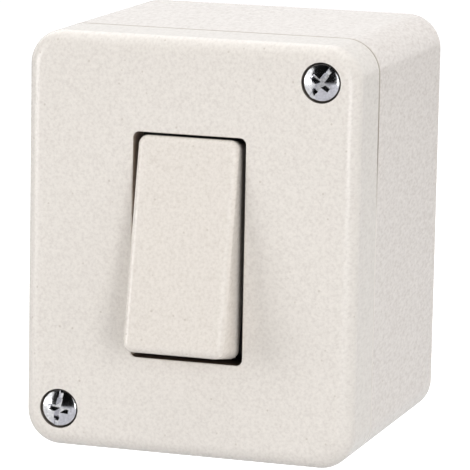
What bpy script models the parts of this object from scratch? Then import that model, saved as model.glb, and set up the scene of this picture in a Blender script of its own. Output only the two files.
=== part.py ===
"""Surface mounted light switch: a deep moulded box with a screwed front cover, a tilting
rocker on a pin, and the change-over contact mechanism that the rocker works."""

import math

import bmesh
import bpy
from mathutils import Matrix, Vector

# The box and its cover, metres. The wall is the plane y = 0 and the front faces -Y.
BOX_WIDTH = 0.0540
BOX_HEIGHT = 0.0662
BASE_DEPTH = 0.0364
COVER_DEPTH = 0.0113
PARTING_GAP = 0.0003
CORNER_RADIUS = 0.0055
FRONT_FILLET = 0.0028
REAR_CHAMFER = 0.0005
RIM_CHAMFER = 0.0003
COVER_WALL = 0.0022
COVER_FACE = 0.0022
BASE_WALL = 0.0024
BACK_WALL = 0.0024

# The tongue on the base that the cover's rim fits round.
RIM_EDGE = 0.0010
TONGUE_HEIGHT = 0.0020
TONGUE_CLEARANCE = 0.0003

# Gaps between seated pieces, between threads and walls, and at riveted faces.
SEAT_GAP = 0.0003
THREAD_CLEARANCE = 0.0001
RIVET_GAP = 0.0001
BITE = 0.0006

# The opening in the cover and the collar behind it.
OPENING_WIDTH = 0.0184
OPENING_HEIGHT = 0.0357
OPENING_CORNER = 0.0010
COLLAR_WALL = 0.0012
COLLAR_DEPTH = 0.0028

# How far the opening, the mechanism and the cover screws sit above the middle of the box.
MECHANISM_Z = 0.0003

# Cover screws, on one diagonal.
COVER_SCREW_INSET_X = 0.0060
COVER_SCREW_INSET_Z = 0.0059
COVER_SCREW_RADIUS = 0.0015
COVER_SCREW_LENGTH = 0.0190
COVER_HEAD_RADIUS = 0.0028
COVER_HEAD_EDGE = 0.0014
COVER_HEAD_DOME = 0.0007
COVER_RECESS_DEPTH = 0.0022
RECESS_CLEARANCE = 0.0004
COVER_BOSS_WALL = 0.0010
SCREW_PASSAGE = 0.00025
BASE_BOSS_RADIUS = 0.0041
BASE_BOSS_HOLE_DEPTH = 0.0130
CROSS_SPAN = 0.0034
CROSS_WIDTH = 0.0009
CROSS_DEPTH = 0.0013
HEAD_SLOT_WIDTH = 0.0007
HEAD_SLOT_DEPTH = 0.0008
UPPER_HEAD_TURN = math.radians(55)
LOWER_HEAD_TURN = math.radians(80)

# The rocker, in its own frame with the origin on its pin.
ROCKER_TILT = math.radians(11)
ROCKER_SIDE_GAP = 0.0010
ROCKER_END_GAP = 0.00095
ROCKER_RISE = 0.0056
ROCKER_SKIRT = 0.0030
ROCKER_WALL = 0.0013
ROCKER_FACE = 0.0015
ROCKER_CORNER = 0.0018
ROCKER_FILLET = 0.0012
ROCKER_RIB = 0.0010
ROCKER_RIB_DEPTH = 0.0026
ROCKER_RIB_Z = 0.0090
PIVOT_DEPTH = 0.0016
PIN_RADIUS = 0.0010
PIN_CLEARANCE = 0.00005

# The sprung plunger in the rocker's tube.
TUBE_RADIUS = 0.0038
TUBE_REACH = 0.0092
TUBE_WEB = 0.0013
PLUNGER_RADIUS = 0.0020
PLUNGER_CLEARANCE = 0.0001
PLUNGER_HEAD = 0.0024
PLUNGER_NOSE_RADIUS = 0.0012
PLUNGER_TIP_REACH = 0.0110
PLUNGER_HEAD_END = 0.0088
SPRING_WIRE = 0.00022
SPRING_RADIUS = 0.00150
SPRING_TURNS = 4.5
SPRING_TURN_POINTS = 12

# The contact lever, in its own frame with the origin on the knife edge that it rocks on.
LEVER_TILT = math.radians(6)
LEVER_DROP = 0.0140
LEVER_LENGTH = 0.0230
LEVER_WIDTH = 0.0070
LEVER_THICKNESS = 0.0012
LEVER_CORNER = 0.0016
CONTACT_SPACING = 0.0200
KNIFE_RADIUS = 0.00042
KNIFE_GAP = 0.0001
CONTACT_RADIUS = 0.0015
CONTACT_HEIGHT = 0.0009
CONTACT_DOME = 0.00015
CONTACT_SHANK = 0.0007
CONTACT_GAP = 0.0003

# The contact block and its brass terminals.
BLOCK_WIDTH = 0.0320
BLOCK_HEIGHT = 0.0360
BLOCK_CORNER = 0.0018
BLOCK_DROP = 0.0070
BLOCK_DEPTH = 0.0145
CHEEK_GAP = 0.0003
CHEEK_THICKNESS = 0.0022
CHEEK_HEAD = 0.0024
CHEEK_FOOT = 0.0040
STRIP_THICKNESS = 0.0012
STRIP_WIDTH = 0.0050
STRIP_OVERHANG = 0.0025
STRIP_END_GAP = 0.0012
STRIP_SIDE_GAP = 0.0003
WELL_END_GAP = 0.0004
TERMINAL_INSET = 0.0048
POCKET_WIDTH = 0.0084
POCKET_WALL = 0.0008
CLAMP_WIDTH = 0.0066
CLAMP_THICKNESS = 0.0010
CLAMP_LIP = 0.0006
TERMINAL_SCREW_RADIUS = 0.0016
TERMINAL_SCREW_BITE = 0.0018
TERMINAL_HEAD_RADIUS = 0.0024
TERMINAL_HEAD_EDGE = 0.0013
TERMINAL_HEAD_DOME = 0.0006
SLOT_SPAN = 0.0064
SLOT_WIDTH = 0.0009
SLOT_DEPTH = 0.0009
CORE_WALL = 0.0018

# The ears that hold the block on the two posts of the base.
EAR_REACH = 0.0090
EAR_SCREW_REACH = 0.0046
EAR_WIDTH = 0.0100
EAR_THICKNESS = 0.0034
POST_RADIUS = 0.0034
POST_FIN = 0.0014
POST_FIN_DROP = 0.0070
POST_HOLE_DEPTH = 0.0110
BLOCK_SCREW_RADIUS = 0.0015
BLOCK_SCREW_LENGTH = 0.0110
BLOCK_HEAD_RADIUS = 0.0027

# Openings of the base: wall fixing slots, rear cable entry and the ring of the knock-out.
FIXING_INSET_X = 0.0120
FIXING_INSET_Z = 0.0116
FIXING_SLOT_WIDTH = 0.0044
FIXING_SLOT_LENGTH = 0.0090
FIXING_RIM = 0.0015
FIXING_RIM_HEIGHT = 0.0010
CABLE_ENTRY_WIDTH = 0.0200
CABLE_ENTRY_HEIGHT = 0.0120
CABLE_ENTRY_CORNER = 0.0020
CABLE_ENTRY_Z = -0.0110
KNOCKOUT_RADIUS = 0.0100
KNOCKOUT_GROOVE = 0.0007
KNOCKOUT_SKIN = 0.0010

# The share of half a slot's width that rounds its ends, and of a shank's radius in its point.
END_ROUND = 0.98
SCREW_POINT = 0.8

# Facets.
CORNER_SEGMENTS = 8
FILLET_SEGMENTS = 5
SMALL_SEGMENTS = 3
ROUND_STEPS = 24
SMALL_STEPS = 16

# Sizes that follow from the ones above.
HALF_WIDTH = BOX_WIDTH / 2
HALF_HEIGHT = BOX_HEIGHT / 2
COVER_SCREW_X = HALF_WIDTH - COVER_SCREW_INSET_X
COVER_SCREW_Z = HALF_HEIGHT - COVER_SCREW_INSET_Z
FIXING_X = HALF_WIDTH - FIXING_INSET_X
FIXING_Z = HALF_HEIGHT - FIXING_INSET_Z
KNOCKOUT_Y = -BASE_DEPTH / 2
COVER_REAR = -(BASE_DEPTH + PARTING_GAP)
FRONT = COVER_REAR - COVER_DEPTH
FACE_INNER = FRONT + COVER_FACE
PIVOT_Y = FRONT + PIVOT_DEPTH
LEVER_Y = PIVOT_Y + LEVER_DROP
DECK_Y = PIVOT_Y + BLOCK_DROP
BLOCK_REAR = DECK_Y + BLOCK_DEPTH
ROCKER_WIDTH = OPENING_WIDTH - 2 * ROCKER_SIDE_GAP
ROCKER_LENGTH = OPENING_HEIGHT - 2 * ROCKER_END_GAP
CHEEK_INNER = TUBE_RADIUS + CHEEK_GAP
TERMINAL_X = BLOCK_WIDTH / 2 - TERMINAL_INSET
POST_Z = BLOCK_HEIGHT / 2 + EAR_SCREW_REACH
WELL_HEIGHT = CONTACT_SPACING + STRIP_WIDTH + 2 * (STRIP_SIDE_GAP + WELL_END_GAP)
LEVER_REAR = -(KNIFE_RADIUS + KNIFE_GAP)
CONTACT_REACH = LEVER_REAR + RIVET_GAP + CONTACT_HEIGHT
STRIP_FRONT = (
    LEVER_Y
    + CONTACT_SPACING / 2 * math.sin(LEVER_TILT)
    + CONTACT_REACH * math.cos(LEVER_TILT)
    + CONTACT_GAP
    + CONTACT_HEIGHT
    + RIVET_GAP
)
STRIP_REAR = STRIP_FRONT + STRIP_THICKNESS
FLOOR_Y = STRIP_REAR + SEAT_GAP
CLAMP_REAR = STRIP_FRONT - SEAT_GAP
CLAMP_FRONT = CLAMP_REAR - CLAMP_THICKNESS
COVER_HOLE_RADIUS = COVER_SCREW_RADIUS + SCREW_PASSAGE
COVER_RECESS_RADIUS = COVER_HEAD_RADIUS + RECESS_CLEARANCE
COVER_BOSS_RADIUS = COVER_RECESS_RADIUS + COVER_BOSS_WALL

IVORY = (0.784, 0.723, 0.665, 1)
GREY_MOULDING = (0.18, 0.18, 0.175, 1)
PLATED = (0.78, 0.77, 0.74, 1)
BRASS_COLOUR = (0.72, 0.52, 0.22, 1)
STEEL_COLOUR = (0.55, 0.55, 0.55, 1)
SILVER_COLOUR = (0.80, 0.79, 0.77, 1)
NATURAL_NYLON = (0.80, 0.78, 0.70, 1)

FACING_FRONT = (math.radians(90), 0, 0)
FACING_REAR = (math.radians(-90), 0, 0)
ALONG_X = (0, math.radians(90), 0)


def clear_scene():
    for obj in list(bpy.data.objects):
        bpy.data.objects.remove(obj, do_unlink=True)


def new_collection(name):
    collection = bpy.data.collections.new(name)
    bpy.context.scene.collection.children.link(collection)
    return collection


def new_material(name, colour, roughness, metallic=0.0):
    material = bpy.data.materials.new(name)
    material.use_nodes = True
    shader = material.node_tree.nodes["Principled BSDF"]
    shader.inputs["Base Color"].default_value = colour
    shader.inputs["Roughness"].default_value = roughness
    shader.inputs["Metallic"].default_value = metallic
    material.diffuse_color = colour
    return material


clear_scene()
SWITCH = new_collection("surface_light_switch")
TOOLS = new_collection("cutters")


def to_object(name, shape, location=(0, 0, 0), rotation=(0, 0, 0)):
    """A mesh object in the helper collection; finish() moves a real piece out of it."""
    mesh = bpy.data.meshes.new(name)
    shape.to_mesh(mesh)
    shape.free()
    obj = bpy.data.objects.new(name, mesh)
    obj.location = location
    obj.rotation_euler = rotation
    obj.hide_render = True
    obj.display_type = "WIRE"
    TOOLS.objects.link(obj)
    return obj


def finish(obj, material, parent=None):
    """Turns a shape into a piece of the switch with its own material."""
    TOOLS.objects.unlink(obj)
    SWITCH.objects.link(obj)
    obj.hide_render = False
    obj.display_type = "TEXTURED"
    obj.data.materials.append(material)
    obj.data.shade_smooth()
    obj.data.set_sharp_from_angle(angle=math.radians(30))
    obj.parent = parent
    return obj


def box(name, low, high):
    """A plain box between two corners, with its origin in its middle."""
    low, high = Vector(low), Vector(high)
    shape = bmesh.new()
    bmesh.ops.create_cube(shape, size=1)
    bmesh.ops.scale(shape, vec=high - low, verts=shape.verts)
    return to_object(name, shape, (low + high) / 2)


def edges_along(shape, axis):
    return [
        edge
        for edge in shape.edges
        if abs((edge.verts[0].co - edge.verts[1].co).normalized()[axis]) > 0.99
    ]


def rim_edges(shape, y, length):
    """The edges of the face at one end of the shape along Y, within a small tolerance."""
    return [
        edge
        for edge in shape.edges
        if all(abs(vert.co.y - y) < length for vert in edge.verts)
    ]


def bevel(shape, edges, width, segments):
    bmesh.ops.bevel(
        shape,
        geom=edges,
        offset=width,
        offset_type="OFFSET",
        segments=segments,
        profile=0.5,
        affect="EDGES",
        clamp_overlap=True,
    )


def rounded_box(
    name, half_x, half_z, front, rear, corner, segments=CORNER_SEGMENTS,
    front_round=0.0, rear_round=0.0, round_segments=1, centre=(0, 0),
):
    """A box centred on the Y axis, rounded along Y at its corners and at its two ends."""
    shape = bmesh.new()
    bmesh.ops.create_cube(shape, size=1)
    depth = rear - front
    bmesh.ops.scale(shape, vec=(2 * half_x, depth, 2 * half_z), verts=shape.verts)
    if corner > 0:
        bevel(shape, edges_along(shape, 1), corner, segments)
    if front_round > 0:
        bevel(shape, rim_edges(shape, -depth / 2, depth / 1000), front_round, round_segments)
    if rear_round > 0:
        bevel(shape, rim_edges(shape, depth / 2, depth / 1000), rear_round, SMALL_SEGMENTS)
    return to_object(name, shape, (centre[0], (front + rear) / 2, centre[1]))


def cylinder(name, radius, front, rear, x, z, steps=ROUND_STEPS, rear_radius=None):
    """A round bar along Y between two depths, tapered where rear_radius is given."""
    shape = bmesh.new()
    bmesh.ops.create_cone(
        shape,
        cap_ends=True,
        segments=steps,
        radius1=rear_radius or radius,
        radius2=radius,
        depth=rear - front,
    )
    return to_object(name, shape, (x, (front + rear) / 2, z), FACING_FRONT)


def cross_bar(name, radius, half_length, y, z, steps=ROUND_STEPS):
    """A round bar along X."""
    shape = bmesh.new()
    bmesh.ops.create_cone(
        shape,
        cap_ends=True,
        segments=steps,
        radius1=radius,
        radius2=radius,
        depth=2 * half_length,
    )
    return to_object(name, shape, (0, y, z), ALONG_X)


def turned(name, profile, steps, location=(0, 0, 0), rotation=(0, 0, 0)):
    """A turned piece: the profile (radius, height) runs top to bottom round local Z."""
    shape = bmesh.new()
    verts = [shape.verts.new((radius, 0, height)) for radius, height in profile]
    for first, second in zip(verts, verts[1:]):
        shape.edges.new((first, second))
    obj = to_object(name, shape, location, rotation)
    screw = obj.modifiers.new("turn", "SCREW")
    screw.steps = steps
    screw.render_steps = steps
    screw.use_merge_vertices = True
    screw.merge_threshold = 0.00001
    return obj


def boolean(target, other, operation):
    modifier = target.modifiers.new(other.name, "BOOLEAN")
    modifier.operation = operation
    modifier.solver = "EXACT"
    modifier.object = other
    return target


def cut(target, *others):
    for other in others:
        boolean(target, other, "DIFFERENCE")


def fuse(target, *others):
    for other in others:
        boolean(target, other, "UNION")


def hang(obj, parent):
    """Gives a helper shape the same parent as the piece that it cuts."""
    obj.parent = parent
    return obj


def dome_profile(radius, edge, dome, segments=5):
    """The head of a domed screw from its top centre down to its rim, over z = 0."""
    sphere = (radius**2 + dome**2) / (2 * dome)
    spread = math.asin(radius / sphere)
    points = []
    for step in range(segments + 1):
        angle = spread * step / segments
        points.append((sphere * math.sin(angle), edge + dome - sphere * (1 - math.cos(angle))))
    return points


def screw_profile(head_radius, edge, dome, shank_radius, length):
    """A domed head over a plain shank with a short point."""
    point = shank_radius * SCREW_POINT
    return dome_profile(head_radius, edge, dome) + [
        (head_radius, 0),
        (shank_radius, 0),
        (shank_radius, point - length),
        (shank_radius - point, -length),
        (0, -length),
    ]


def recess_cutters(name, screw, top, turn):
    """A slot across the whole screw head and two deeper crossed slots in its middle."""
    bars = (
        (turn, 2 * COVER_RECESS_RADIUS, HEAD_SLOT_WIDTH, HEAD_SLOT_DEPTH),
        (turn, CROSS_SPAN, CROSS_WIDTH, CROSS_DEPTH),
        (turn + math.radians(90), CROSS_SPAN, CROSS_WIDTH, CROSS_DEPTH),
    )
    cutters = []
    for index, (angle, span, width, depth) in enumerate(bars):
        shape = bmesh.new()
        bmesh.ops.create_cube(shape, size=1)
        bmesh.ops.scale(shape, vec=(span, width, 2 * depth), verts=shape.verts)
        bmesh.ops.rotate(shape, matrix=Matrix.Rotation(angle, 3, "Z"), verts=shape.verts)
        bmesh.ops.translate(shape, vec=(0, 0, top), verts=shape.verts)
        cutters.append(
            to_object(f"{name}_recess_{index}", shape, screw.location, screw.rotation_euler)
        )
    return cutters


def cover_screw_z(side):
    """The height of the upper (1) or lower (-1) cover screw and of its seat and boss."""
    return MECHANISM_Z + side * COVER_SCREW_Z


def contact_z(side):
    """The height of the upper (1), common (0) or lower (-1) terminal and its contact."""
    return MECHANISM_Z + side * CONTACT_SPACING / 2


def post_z(side):
    """The height of the upper (1) or lower (-1) post and of the block's screw in it."""
    return MECHANISM_Z + side * POST_Z


def build_base_box(material):
    """The deep rear box: five walls, a tongue for the cover, bosses, posts and entries."""
    base = rounded_box(
        "base_box", HALF_WIDTH, HALF_HEIGHT, -BASE_DEPTH, 0, CORNER_RADIUS,
        front_round=RIM_CHAMFER, rear_round=REAR_CHAMFER,
    )
    inset = RIM_EDGE + TONGUE_CLEARANCE
    tongue = rounded_box(
        "base_tongue", HALF_WIDTH - inset, HALF_HEIGHT - inset,
        -BASE_DEPTH - TONGUE_HEIGHT, -BASE_DEPTH + BITE, CORNER_RADIUS - inset,
    )
    cavity = rounded_box(
        "base_cavity", HALF_WIDTH - BASE_WALL, HALF_HEIGHT - BASE_WALL,
        -BASE_DEPTH - 2 * TONGUE_HEIGHT, -BACK_WALL, CORNER_RADIUS - BASE_WALL,
    )
    fuse(base, tongue)
    cut(base, cavity)
    for side, name in ((1, "upper"), (-1, "lower")):
        add_cover_boss(base, side, name)
        add_block_post(base, side, name)
        add_fixing_slot(base, side, name)
    cut(
        base,
        rounded_box(
            "cable_entry", CABLE_ENTRY_WIDTH / 2, CABLE_ENTRY_HEIGHT / 2,
            -2 * BACK_WALL, BACK_WALL, CABLE_ENTRY_CORNER,
            segments=SMALL_SEGMENTS, centre=(0, CABLE_ENTRY_Z),
        ),
        knockout_ring(),
    )
    return finish(base, material)


def add_cover_boss(base, side, name):
    """A column in the corner that takes a cover screw, with the tongue cleared round it."""
    x, z = side * COVER_SCREW_X, cover_screw_z(side)
    cut(
        base,
        cylinder(
            f"tongue_relief_{name}", COVER_BOSS_RADIUS + SEAT_GAP,
            -BASE_DEPTH - 2 * TONGUE_HEIGHT, -BASE_DEPTH, x, z,
        ),
    )
    fuse(base, cylinder(f"base_boss_{name}", BASE_BOSS_RADIUS, -BASE_DEPTH, -BACK_WALL + BITE, x, z))
    cut(
        base,
        cylinder(
            f"base_boss_hole_{name}", COVER_SCREW_RADIUS + THREAD_CLEARANCE,
            -BASE_DEPTH - BITE, -BASE_DEPTH + BASE_BOSS_HOLE_DEPTH, x, z,
        ),
    )


def add_block_post(base, side, name):
    """A tapered post for the contact block, stiffened by a fin to the end wall."""
    top = BLOCK_REAR + SEAT_GAP
    fin_end = HALF_HEIGHT - BASE_WALL + BITE
    z = post_z(side)
    low, high = sorted((z, side * fin_end))
    fuse(
        base,
        cylinder(
            f"block_post_{name}", POST_RADIUS, top, -BACK_WALL + BITE, 0, z,
            rear_radius=POST_RADIUS + POST_FIN / 2,
        ),
        box(
            f"post_fin_{name}",
            (-POST_FIN / 2, top + POST_FIN_DROP, low),
            (POST_FIN / 2, -BACK_WALL + BITE, high),
        ),
    )
    cut(
        base,
        cylinder(
            f"block_post_hole_{name}", BLOCK_SCREW_RADIUS + THREAD_CLEARANCE,
            top - BITE, top + POST_HOLE_DEPTH, 0, z, steps=SMALL_STEPS,
        ),
    )


def add_fixing_slot(base, side, name):
    """A slot through the back wall for a wall screw, with a raised rim inside."""
    half_x, half_z = FIXING_SLOT_WIDTH / 2, FIXING_SLOT_LENGTH / 2
    if side < 0:
        half_x, half_z = half_z, half_x
    centre = (-side * FIXING_X, side * FIXING_Z)
    fuse(
        base,
        rounded_box(
            f"fixing_rim_{name}", half_x + FIXING_RIM, half_z + FIXING_RIM,
            -BACK_WALL - FIXING_RIM_HEIGHT, -BACK_WALL + BITE,
            FIXING_SLOT_WIDTH / 2 + FIXING_RIM, segments=CORNER_SEGMENTS // 2, centre=centre,
        ),
    )
    cut(
        base,
        rounded_box(
            f"fixing_slot_{name}", half_x, half_z, -2 * BACK_WALL - FIXING_RIM_HEIGHT, BACK_WALL,
            FIXING_SLOT_WIDTH / 2 * END_ROUND, segments=CORNER_SEGMENTS // 2, centre=centre,
        ),
    )


def knockout_ring():
    """The ring groove of the conduit knock-out in the bottom wall, as a turned cutter."""
    inner = KNOCKOUT_RADIUS - KNOCKOUT_GROOVE
    deep = BASE_WALL - KNOCKOUT_SKIN
    return turned(
        "knockout_ring",
        [
            (inner, deep), (KNOCKOUT_RADIUS, deep), (KNOCKOUT_RADIUS, -deep),
            (inner, -deep), (inner, deep),
        ],
        2 * SMALL_STEPS,
        (0, KNOCKOUT_Y, -HALF_HEIGHT),
    )


def build_front_cover(material):
    """The cover: a rounded shell with the rocker's opening, a collar and two screw bosses."""
    cover = rounded_box(
        "front_cover", HALF_WIDTH, HALF_HEIGHT, FRONT, COVER_REAR, CORNER_RADIUS,
        front_round=FRONT_FILLET, round_segments=FILLET_SEGMENTS,
    )
    behind = COVER_REAR + COVER_DEPTH
    cavity = rounded_box(
        "cover_cavity", HALF_WIDTH - COVER_WALL, HALF_HEIGHT - COVER_WALL,
        FACE_INNER, behind, CORNER_RADIUS - COVER_WALL,
    )
    rebate = rounded_box(
        "cover_rebate", HALF_WIDTH - RIM_EDGE, HALF_HEIGHT - RIM_EDGE,
        -BASE_DEPTH - TONGUE_HEIGHT - SEAT_GAP, behind, CORNER_RADIUS - RIM_EDGE,
    )
    cut(cover, rebate, cavity)
    fuse(
        cover,
        rounded_box(
            "opening_collar", OPENING_WIDTH / 2 + COLLAR_WALL, OPENING_HEIGHT / 2 + COLLAR_WALL,
            FACE_INNER - BITE, FACE_INNER + COLLAR_DEPTH, OPENING_CORNER + COLLAR_WALL,
            segments=SMALL_SEGMENTS, centre=(0, MECHANISM_Z),
        ),
    )
    cut(
        cover,
        rounded_box(
            "cover_opening", OPENING_WIDTH / 2, OPENING_HEIGHT / 2,
            FRONT - COVER_FACE, FACE_INNER + 2 * COLLAR_DEPTH, OPENING_CORNER,
            segments=SMALL_SEGMENTS, centre=(0, MECHANISM_Z),
        ),
    )
    for side, name in ((1, "upper"), (-1, "lower")):
        add_screw_seat(cover, side, name)
    return finish(cover, material)


def add_screw_seat(cover, side, name):
    """A column behind the face with a counterbore for the head and a hole for the shank."""
    x, z = side * COVER_SCREW_X, cover_screw_z(side)
    fuse(
        cover,
        cylinder(f"cover_boss_{name}", COVER_BOSS_RADIUS, FACE_INNER - BITE, COVER_REAR, x, z),
    )
    cut(
        cover,
        cylinder(
            f"head_recess_{name}", COVER_RECESS_RADIUS,
            FRONT - COVER_FACE, FRONT + COVER_RECESS_DEPTH, x, z,
        ),
        cylinder(
            f"cover_screw_hole_{name}", COVER_HOLE_RADIUS, FRONT, COVER_REAR + BITE, x, z,
        ),
    )


def build_cover_screw(name, side, turn, material):
    """A domed cover screw with a slot and a cross, its head seated in the counterbore."""
    seat = FRONT + COVER_RECESS_DEPTH - SEAT_GAP
    screw = turned(
        name,
        screw_profile(
            COVER_HEAD_RADIUS, COVER_HEAD_EDGE, COVER_HEAD_DOME,
            COVER_SCREW_RADIUS, COVER_SCREW_LENGTH,
        ),
        ROUND_STEPS,
        (side * COVER_SCREW_X, seat, cover_screw_z(side)),
        FACING_FRONT,
    )
    cut(screw, *recess_cutters(name, screw, COVER_HEAD_EDGE + COVER_HEAD_DOME, turn))
    return finish(screw, material)


def build_rocker(material, pivot):
    """The rocker: an open-backed rounded key with cross ribs and the plunger's tube."""
    half_x, half_z = ROCKER_WIDTH / 2, ROCKER_LENGTH / 2
    inner_face = -ROCKER_RISE + ROCKER_FACE
    rocker = rounded_box(
        "rocker", half_x, half_z, -ROCKER_RISE, ROCKER_SKIRT, ROCKER_CORNER,
        segments=CORNER_SEGMENTS // 2, front_round=ROCKER_FILLET, round_segments=FILLET_SEGMENTS,
    )
    rocker.location.y = (ROCKER_SKIRT - ROCKER_RISE) / 2
    recentre(rocker)
    hollow = rounded_box(
        "rocker_hollow", half_x - ROCKER_WALL, half_z - ROCKER_WALL,
        inner_face, 2 * ROCKER_SKIRT, ROCKER_CORNER / 2, segments=SMALL_SEGMENTS,
    )
    cut(rocker, hang(hollow, pivot))
    for side in (-1, 1):
        rib = box(
            f"rocker_rib_{side}",
            (-half_x + ROCKER_WALL / 2, inner_face - BITE, side * ROCKER_RIB_Z - ROCKER_RIB / 2),
            (half_x - ROCKER_WALL / 2, inner_face + ROCKER_RIB_DEPTH,
             side * ROCKER_RIB_Z + ROCKER_RIB / 2),
        )
        fuse(rocker, hang(rib, pivot))
    tube = cylinder("rocker_tube", TUBE_RADIUS, inner_face - BITE, TUBE_REACH, 0, 0)
    bore = cylinder(
        "rocker_bore", PLUNGER_RADIUS + PLUNGER_CLEARANCE,
        PIN_RADIUS + TUBE_WEB, 2 * TUBE_REACH, 0, 0,
    )
    pin_hole = cross_bar("rocker_pin_hole", PIN_RADIUS + PIN_CLEARANCE, CHEEK_INNER, 0, 0)
    for helper in (tube, bore, pin_hole):
        hang(helper, pivot)
    fuse(rocker, tube)
    cut(rocker, bore, pin_hole)
    return finish(rocker, material, pivot)


def recentre(obj):
    """Moves a shape's own location into its mesh, so that its origin is its parent's."""
    obj.data.transform(Matrix.Translation(obj.location))
    obj.location = (0, 0, 0)


def build_plunger(material, pivot):
    """The nylon plunger: a guided head and a thinner nose with a round tip."""
    tip = []
    for step in range(SMALL_STEPS // 4 + 1):
        angle = math.radians(90) * step / (SMALL_STEPS // 4)
        tip.append((
            PLUNGER_NOSE_RADIUS * math.sin(angle),
            PLUNGER_TIP_REACH + PLUNGER_NOSE_RADIUS * math.cos(angle),
        ))
    plunger = turned(
        "plunger",
        tip + [
            (PLUNGER_NOSE_RADIUS, PLUNGER_HEAD_END),
            (PLUNGER_RADIUS, PLUNGER_HEAD_END),
            (PLUNGER_RADIUS, PLUNGER_HEAD_END - PLUNGER_HEAD),
            (0, PLUNGER_HEAD_END - PLUNGER_HEAD),
        ],
        SMALL_STEPS,
        rotation=FACING_REAR,
    )
    return finish(plunger, material, pivot)


def build_rocker_spring(material, pivot):
    """The coil spring behind the plunger, as a bevelled curve."""
    start = PIN_RADIUS + TUBE_WEB + SEAT_GAP / 2 + SPRING_WIRE
    end = PLUNGER_HEAD_END - PLUNGER_HEAD - SEAT_GAP / 2 - SPRING_WIRE
    count = int(SPRING_TURNS * SPRING_TURN_POINTS)
    curve = bpy.data.curves.new("rocker_spring", "CURVE")
    curve.dimensions = "3D"
    curve.bevel_depth = SPRING_WIRE
    curve.bevel_resolution = 1
    curve.use_fill_caps = True
    spline = curve.splines.new("POLY")
    spline.points.add(count)
    for index, point in enumerate(spline.points):
        angle = 2 * math.pi * index / SPRING_TURN_POINTS
        y = start + (end - start) * index / count
        point.co = (SPRING_RADIUS * math.cos(angle), y, SPRING_RADIUS * math.sin(angle), 1)
    obj = bpy.data.objects.new("rocker_spring", curve)
    SWITCH.objects.link(obj)
    curve.materials.append(material)
    obj.parent = pivot
    return obj


def build_rocker_pin(material):
    """The steel pin that the rocker's tube turns on, held flush in the two cheeks."""
    pin = cross_bar(
        "rocker_pin", PIN_RADIUS, CHEEK_INNER + CHEEK_THICKNESS, PIVOT_Y, MECHANISM_Z
    )
    return finish(pin, material)


def build_contact_lever(material, fulcrum):
    """The brass lever that rocks on the common terminal's edge, drilled for its contacts."""
    shape = bmesh.new()
    bmesh.ops.create_cube(shape, size=1)
    bmesh.ops.scale(
        shape, vec=(LEVER_WIDTH, LEVER_THICKNESS, LEVER_LENGTH), verts=shape.verts
    )
    bevel(shape, edges_along(shape, 1), LEVER_CORNER, SMALL_SEGMENTS)
    bmesh.ops.translate(
        shape, vec=(0, LEVER_REAR - LEVER_THICKNESS / 2, 0), verts=shape.verts
    )
    lever = to_object("contact_lever", shape)
    for side in (-1, 1):
        hole = cylinder(
            f"lever_hole_{side}", CONTACT_SHANK + RIVET_GAP,
            LEVER_REAR - 2 * LEVER_THICKNESS, LEVER_REAR + LEVER_THICKNESS,
            0, side * CONTACT_SPACING / 2, steps=SMALL_STEPS,
        )
        cut(lever, hang(hole, fulcrum))
    return finish(lever, material, fulcrum)


def contact_profile(shank_length):
    """A rivet contact: a slightly domed face over z = 0 and a shank below it."""
    return dome_profile(CONTACT_RADIUS, CONTACT_HEIGHT - CONTACT_DOME, CONTACT_DOME, 2) + [
        (CONTACT_RADIUS, 0),
        (CONTACT_SHANK, 0),
        (CONTACT_SHANK, -shank_length),
        (0, -shank_length),
    ]


def build_moving_contact(name, side, material, fulcrum):
    contact = turned(
        name,
        contact_profile(LEVER_THICKNESS + RIVET_GAP),
        SMALL_STEPS,
        (0, LEVER_REAR + RIVET_GAP, side * CONTACT_SPACING / 2),
        FACING_REAR,
    )
    return finish(contact, material, fulcrum)


def build_fixed_contact(name, side, material):
    contact = turned(
        name,
        contact_profile(STRIP_THICKNESS + RIVET_GAP),
        SMALL_STEPS,
        (0, STRIP_FRONT - RIVET_GAP, contact_z(side)),
        FACING_FRONT,
    )
    return finish(contact, material)


def strip_span(side_x):
    """The near and far ends in X of a terminal strip that runs to the block's side."""
    far = BLOCK_WIDTH / 2 - STRIP_END_GAP
    return sorted((-side_x * STRIP_OVERHANG, side_x * far))


def terminal_strip(name, side_x, z):
    """A brass strip on the block's floor, drilled for its terminal screw."""
    low, high = strip_span(side_x)
    strip = box(
        name,
        (low, STRIP_FRONT, z - STRIP_WIDTH / 2),
        (high, STRIP_REAR, z + STRIP_WIDTH / 2),
    )
    cut(
        strip,
        cylinder(
            f"{name}_screw_hole", TERMINAL_SCREW_RADIUS + THREAD_CLEARANCE,
            STRIP_FRONT - STRIP_THICKNESS, STRIP_REAR + STRIP_THICKNESS,
            side_x * TERMINAL_X, z, steps=SMALL_STEPS,
        ),
    )
    return strip


def build_contact_terminal(name, side, material):
    """The strip of one fixed contact, running to the block's left side."""
    z = contact_z(side)
    strip = terminal_strip(name, -1, z)
    cut(
        strip,
        cylinder(
            f"{name}_rivet_hole", CONTACT_SHANK + RIVET_GAP,
            STRIP_FRONT - STRIP_THICKNESS, STRIP_REAR + STRIP_THICKNESS, 0, z,
            steps=SMALL_STEPS,
        ),
    )
    return finish(strip, material)


def build_common_terminal(material):
    """The common strip with its raised, round-topped edge under the lever."""
    strip = terminal_strip("common_terminal", 1, contact_z(0))
    half_x = STRIP_OVERHANG - RIVET_GAP
    fuse(
        strip,
        box(
            "knife_web",
            (-half_x, LEVER_Y, contact_z(0) - KNIFE_RADIUS),
            (half_x, STRIP_FRONT + STRIP_THICKNESS / 2, contact_z(0) + KNIFE_RADIUS),
        ),
        cross_bar("knife_edge", KNIFE_RADIUS, half_x, LEVER_Y, contact_z(0), steps=SMALL_STEPS),
    )
    return finish(strip, material)


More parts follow.
